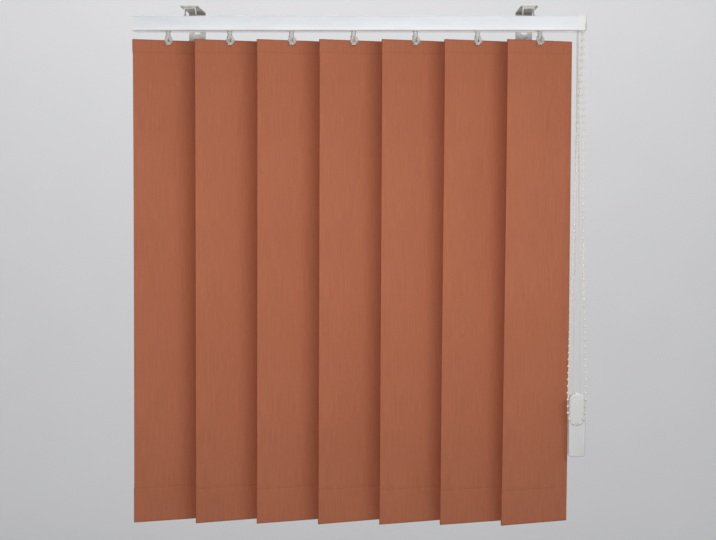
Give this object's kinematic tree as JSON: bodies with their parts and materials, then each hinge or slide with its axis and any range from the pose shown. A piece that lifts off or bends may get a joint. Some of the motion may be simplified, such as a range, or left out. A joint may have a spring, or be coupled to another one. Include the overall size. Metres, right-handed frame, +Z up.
{
  "type": "vertical blind",
  "caption": "Vertical blind: wide fabric louvres on hooks under a white headrail, tilted by a bead chain and drawn by a weighted cord, on wall brackets.",
  "frame": {"origin": "on the wall plane, in the middle of the four slotted holes of the two wall brackets", "axes": "+X along the rail to the control end, +Y into the wall, +Z up"},
  "size_m": [0.7974, 0.1195, 0.9087],
  "materials": {
    "rail_enamel": "white gloss stove enamel on an aluminium extrusion",
    "zinc_plate": "bright zinc plate on pressed steel",
    "cap_plastic": "white moulded plastic, satin gloss",
    "rod_aluminium": "mill finish extrusion",
    "gear_plastic": "natural white acetal",
    "hook_plastic": "clear to smoky moulded plastic",
    "cord_braid": "fine white braided polyester",
    "bead_plastic": "cream plastic beads on a string",
    "weight_plastic": "white moulded plastic",
    "louvre_fabric": "terracotta woven polyester, stiffened",
    "bar_steel": "galvanised steel strip",
    "spring_steel": "thin spring steel strip"
  },
  "bodies": {
    "rail": {"headrail": "rail_enamel", "wall_brackets": "zinc_plate", "rail_clips": "zinc_plate", "idle_end_cap": "cap_plastic", "control_end_cap": "cap_plastic", "draw_cord": "cord_braid", "bead_chain": "bead_plastic", "cord_weight": "weight_plastic", "carrier_7": "gear_plastic", "spacer_7": "spring_steel"},
    "rod": {"tilt_rod": "rod_aluminium", "chain_wheel": "gear_plastic"},
    "return_pulley": {"return_pulley": "gear_plastic"},
    "weight_pulley": {"weight_pulley": "gear_plastic"},
    "carrier_1": {"carrier_1": "gear_plastic"},
    "louvre_1": {"hook_1": "hook_plastic", "hanger_1": "hook_plastic", "louvre_1": "louvre_fabric", "hem_weight_1": "bar_steel"},
    "worm_1": {"worm_1": "gear_plastic"},
    "carrier_2": {"carrier_2": "gear_plastic", "spacer_2": "spring_steel"},
    "louvre_2": {"hook_2": "hook_plastic", "hanger_2": "hook_plastic", "louvre_2": "louvre_fabric", "hem_weight_2": "bar_steel"},
    "worm_2": {"worm_2": "gear_plastic"},
    "carrier_3": {"carrier_3": "gear_plastic", "spacer_3": "spring_steel"},
    "louvre_3": {"hook_3": "hook_plastic", "hanger_3": "hook_plastic", "louvre_3": "louvre_fabric", "hem_weight_3": "bar_steel"},
    "worm_3": {"worm_3": "gear_plastic"},
    "carrier_4": {"carrier_4": "gear_plastic", "spacer_4": "spring_steel"},
    "louvre_4": {"hook_4": "hook_plastic", "hanger_4": "hook_plastic", "louvre_4": "louvre_fabric", "hem_weight_4": "bar_steel"},
    "worm_4": {"worm_4": "gear_plastic"},
    "carrier_5": {"carrier_5": "gear_plastic", "spacer_5": "spring_steel"},
    "louvre_5": {"hook_5": "hook_plastic", "hanger_5": "hook_plastic", "louvre_5": "louvre_fabric", "hem_weight_5": "bar_steel"},
    "worm_5": {"worm_5": "gear_plastic"},
    "carrier_6": {"carrier_6": "gear_plastic", "spacer_6": "spring_steel"},
    "louvre_6": {"hook_6": "hook_plastic", "hanger_6": "hook_plastic", "louvre_6": "louvre_fabric", "hem_weight_6": "bar_steel"},
    "worm_6": {"worm_6": "gear_plastic"},
    "louvre_7": {"hook_7": "hook_plastic", "hanger_7": "hook_plastic", "louvre_7": "louvre_fabric", "hem_weight_7": "bar_steel"},
    "worm_7": {"worm_7": "gear_plastic"}
  },
  "joints": [
    {"name": "draw", "type": "slide", "parent": "rail", "child": "carrier_1", "axis": [1, 0, 0], "range_m": [0, 0.492]},
    {"name": "tilt", "type": "hinge", "parent": "carrier_1", "child": "louvre_1", "pos_m": [-0.3335, -0.092, -0.03], "axis": [0, 0, 1], "range_deg": [-9, 141]},
    {"name": "worm_turn_1", "type": "hinge", "parent": "carrier_1", "child": "worm_1", "pos_m": [-0.3335, -0.1032, -0.0063], "axis": [1, 0, 0], "range_deg": [-54, 846]},
    {"name": "draw_2", "type": "slide", "parent": "rail", "child": "carrier_2", "axis": [1, 0, 0], "range_m": [0, 0.41]},
    {"name": "tilt_2", "type": "hinge", "parent": "carrier_2", "child": "louvre_2", "pos_m": [-0.2255, -0.092, -0.03], "axis": [0, 0, 1], "range_deg": [-9, 141]},
    {"name": "worm_turn_2", "type": "hinge", "parent": "carrier_2", "child": "worm_2", "pos_m": [-0.2255, -0.1032, -0.0063], "axis": [1, 0, 0], "range_deg": [-54, 846]},
    {"name": "draw_3", "type": "slide", "parent": "rail", "child": "carrier_3", "axis": [1, 0, 0], "range_m": [0, 0.328]},
    {"name": "tilt_3", "type": "hinge", "parent": "carrier_3", "child": "louvre_3", "pos_m": [-0.1175, -0.092, -0.03], "axis": [0, 0, 1], "range_deg": [-9, 141]},
    {"name": "worm_turn_3", "type": "hinge", "parent": "carrier_3", "child": "worm_3", "pos_m": [-0.1175, -0.1032, -0.0063], "axis": [1, 0, 0], "range_deg": [-54, 846]},
    {"name": "draw_4", "type": "slide", "parent": "rail", "child": "carrier_4", "axis": [1, 0, 0], "range_m": [0, 0.246]},
    {"name": "tilt_4", "type": "hinge", "parent": "carrier_4", "child": "louvre_4", "pos_m": [-0.0095, -0.092, -0.03], "axis": [0, 0, 1], "range_deg": [-9, 141]},
    {"name": "worm_turn_4", "type": "hinge", "parent": "carrier_4", "child": "worm_4", "pos_m": [-0.0095, -0.1032, -0.0063], "axis": [1, 0, 0], "range_deg": [-54, 846]},
    {"name": "draw_5", "type": "slide", "parent": "rail", "child": "carrier_5", "axis": [1, 0, 0], "range_m": [0, 0.164]},
    {"name": "tilt_5", "type": "hinge", "parent": "carrier_5", "child": "louvre_5", "pos_m": [0.0985, -0.092, -0.03], "axis": [0, 0, 1], "range_deg": [-9, 141]},
    {"name": "worm_turn_5", "type": "hinge", "parent": "carrier_5", "child": "worm_5", "pos_m": [0.0985, -0.1032, -0.0063], "axis": [1, 0, 0], "range_deg": [-54, 846]},
    {"name": "draw_6", "type": "slide", "parent": "rail", "child": "carrier_6", "axis": [1, 0, 0], "range_m": [0, 0.082]},
    {"name": "tilt_6", "type": "hinge", "parent": "carrier_6", "child": "louvre_6", "pos_m": [0.2065, -0.092, -0.03], "axis": [0, 0, 1], "range_deg": [-9, 141]},
    {"name": "worm_turn_6", "type": "hinge", "parent": "carrier_6", "child": "worm_6", "pos_m": [0.2065, -0.1032, -0.0063], "axis": [1, 0, 0], "range_deg": [-54, 846]},
    {"name": "tilt_7", "type": "hinge", "parent": "rail", "child": "louvre_7", "pos_m": [0.3145, -0.092, -0.03], "axis": [0, 0, 1], "range_deg": [-9, 141]},
    {"name": "worm_turn_7", "type": "hinge", "parent": "rail", "child": "worm_7", "pos_m": [0.3145, -0.1032, -0.0063], "axis": [1, 0, 0], "range_deg": [-54, 846]},
    {"name": "rod_turn", "type": "hinge", "parent": "rail", "child": "rod", "pos_m": [0, -0.1032, -0.0063], "axis": [1, 0, 0], "range_deg": [-54, 846]},
    {"name": "return_pulley_turn", "type": "hinge", "parent": "rail", "child": "return_pulley", "pos_m": [-0.3785, -0.0785, -0.0063], "axis": [0, 0, 1], "range_deg": [0, 7048.38]},
    {"name": "weight_pulley_turn", "type": "hinge", "parent": "rail", "child": "weight_pulley", "pos_m": [0.3868, -0.088, -0.6655], "axis": [0, 1, 0], "range_deg": [0, 4475.53]}
  ],
  "couplings": [
    {"joint": "worm_turn_1", "follows": "tilt", "ratio": 6},
    {"joint": "draw_2", "follows": "draw", "ratio": 0.83333},
    {"joint": "tilt_2", "follows": "tilt", "ratio": 1},
    {"joint": "worm_turn_2", "follows": "tilt", "ratio": 6},
    {"joint": "draw_3", "follows": "draw", "ratio": 0.66667},
    {"joint": "tilt_3", "follows": "tilt", "ratio": 1},
    {"joint": "worm_turn_3", "follows": "tilt", "ratio": 6},
    {"joint": "draw_4", "follows": "draw", "ratio": 0.5},
    {"joint": "tilt_4", "follows": "tilt", "ratio": 1},
    {"joint": "worm_turn_4", "follows": "tilt", "ratio": 6},
    {"joint": "draw_5", "follows": "draw", "ratio": 0.33333},
    {"joint": "tilt_5", "follows": "tilt", "ratio": 1},
    {"joint": "worm_turn_5", "follows": "tilt", "ratio": 6},
    {"joint": "draw_6", "follows": "draw", "ratio": 0.16667},
    {"joint": "tilt_6", "follows": "tilt", "ratio": 1},
    {"joint": "worm_turn_6", "follows": "tilt", "ratio": 6},
    {"joint": "tilt_7", "follows": "tilt", "ratio": 1},
    {"joint": "worm_turn_7", "follows": "tilt", "ratio": 6},
    {"joint": "rod_turn", "follows": "tilt", "ratio": 6},
    {"joint": "return_pulley_turn", "follows": "draw", "rad_per_m": 250},
    {"joint": "weight_pulley_turn", "follows": "draw", "rad_per_m": 158.73}
  ]
}
